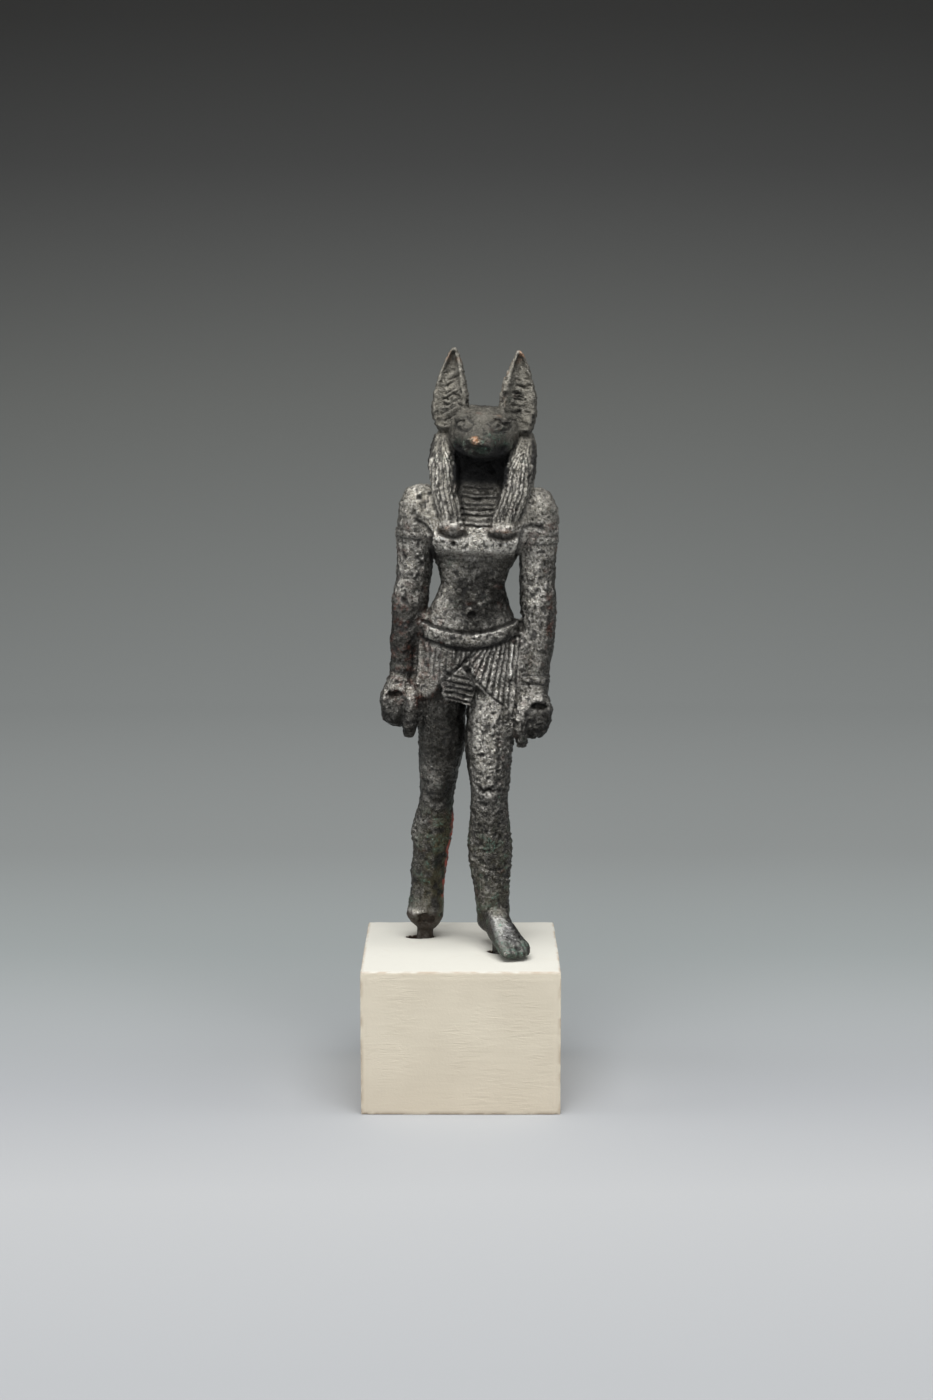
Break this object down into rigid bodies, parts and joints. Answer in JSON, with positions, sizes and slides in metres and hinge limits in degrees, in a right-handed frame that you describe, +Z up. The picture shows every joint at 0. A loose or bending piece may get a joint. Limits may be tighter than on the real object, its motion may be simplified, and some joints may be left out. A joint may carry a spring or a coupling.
{
  "type": "anubis statuette",
  "caption": "Small cast bronze of a striding jackal-headed god with clenched hands, held upright by two tangs in a painted wooden block.",
  "frame": {"origin": "centre of the block's underside", "axes": "+Z up from the underside to the ear tips, the figure faces -Y, and +X is its left side, with the front foot"},
  "size_m": [0.038, 0.038, 0.1442],
  "materials": {
    "bronze": "dark grey-black ancient bronze, pitted, with copper wear on the snout and green and red patches",
    "painted_wood": "matt cream paint with fine brush marks"
  },
  "bodies": {
    "root": {"bronze_figure": "bronze", "wooden_block": "painted_wood"}
  },
  "joints": []
}
